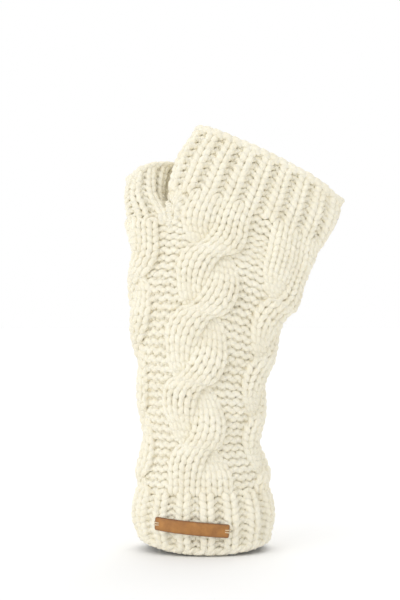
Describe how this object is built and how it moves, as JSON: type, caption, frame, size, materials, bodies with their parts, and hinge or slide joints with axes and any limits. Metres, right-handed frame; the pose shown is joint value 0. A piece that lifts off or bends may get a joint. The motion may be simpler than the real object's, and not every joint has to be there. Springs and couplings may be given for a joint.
{
  "type": "knitted fingerless arm warmer, one of a pair, in its worn form without the hand",
  "caption": "Fingerless arm warmer in thick cream wool with rope cables, ribbed hem and hand opening, a short ribbed thumb and a small plain leather label.",
  "frame": {"origin": "centre of the wrist, where the wearer holds the arm warmer", "axes": "+Z along the forearm towards the fingers, -Y out of the back of the hand, -X towards the thumb"},
  "size_m": [0.1271, 0.0639, 0.2396],
  "materials": {
    "wool": "matt",
    "label": "satin",
    "thread": "matt"
  },
  "bodies": {
    "root": {"hem_rib": "wool", "cabled_arm": "wool", "hand_rib": "wool", "thumb_rib": "wool", "leather_label": "label"}
  },
  "joints": []
}
